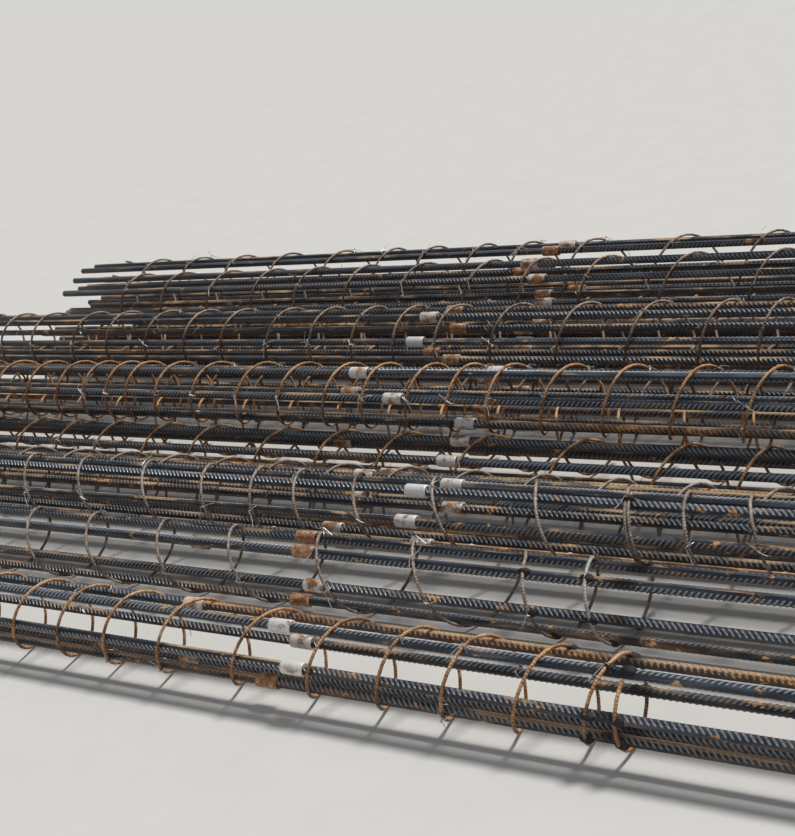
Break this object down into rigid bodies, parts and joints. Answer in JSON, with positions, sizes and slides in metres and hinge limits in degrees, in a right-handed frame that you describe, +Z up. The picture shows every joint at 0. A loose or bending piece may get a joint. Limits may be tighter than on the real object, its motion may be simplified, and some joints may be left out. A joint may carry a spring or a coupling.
{
  "type": "heap of rebar pile cages",
  "caption": "Heap of long round reinforcement cages for piles: ribbed bars in wound spirals of wire, joined by threaded sleeves.",
  "frame": {"origin": "on the floor, under the middle of the heap's bounding box", "axes": "+X along the cages, towards their far right ends; +Y across the heap to its rear; +Z up"},
  "size_m": [6.28, 2.4242, 0.3733],
  "materials": {
    "rusty_bar": "dark mill scale with patches of orange rust",
    "rusty_wire": "orange-brown rust all over",
    "grey_wire": "dull grey drawn wire with brown rust",
    "sleeve_steel": "turned steel, some bright and some rusty"
  },
  "bodies": {
    "root": {"cage_a_bars": "rusty_bar", "cage_a_spiral": "rusty_wire", "cage_a_sleeves": "sleeve_steel", "cage_b_bars": "rusty_bar", "cage_b_spiral": "grey_wire", "cage_b_sleeves": "sleeve_steel", "cage_c_rest_bars": "rusty_bar", "cage_c_rest_spiral": "grey_wire", "cage_c_rest_sleeves": "sleeve_steel", "cage_d_bars": "rusty_bar", "cage_d_spiral": "rusty_wire", "cage_d_sleeves": "sleeve_steel", "cage_e_rest_bars": "rusty_bar", "cage_e_rest_spiral": "rusty_wire", "cage_e_rest_sleeves": "sleeve_steel", "cage_f_front_bars": "rusty_bar", "cage_f_front_spiral": "rusty_wire", "cage_f_front_sleeves": "sleeve_steel", "cage_f_rest_bars": "rusty_bar", "cage_f_rest_spiral": "rusty_wire", "cage_f_rest_sleeves": "sleeve_steel", "cage_g_front_bars": "rusty_bar", "cage_g_front_spiral": "rusty_wire", "cage_g_front_sleeves": "sleeve_steel", "cage_g_rest_bars": "rusty_bar", "cage_g_rest_spiral": "rusty_wire", "cage_g_rest_sleeves": "sleeve_steel", "cage_h_rest_bars": "rusty_bar", "cage_h_rest_spiral": "rusty_wire", "cage_h_rest_sleeves": "sleeve_steel", "cage_c_bars": "rusty_bar", "cage_c_spiral": "grey_wire", "cage_c_sleeves": "sleeve_steel", "cage_e_bars": "rusty_bar", "cage_e_spiral": "rusty_wire", "cage_e_sleeves": "sleeve_steel", "cage_f_bars": "rusty_bar", "cage_f_spiral": "rusty_wire", "cage_f_sleeves": "sleeve_steel", "cage_g_bars": "rusty_bar", "cage_g_spiral": "rusty_wire", "cage_g_sleeves": "sleeve_steel", "cage_h_bars": "rusty_bar", "cage_h_spiral": "rusty_wire", "cage_h_sleeves": "sleeve_steel"}
  },
  "joints": []
}
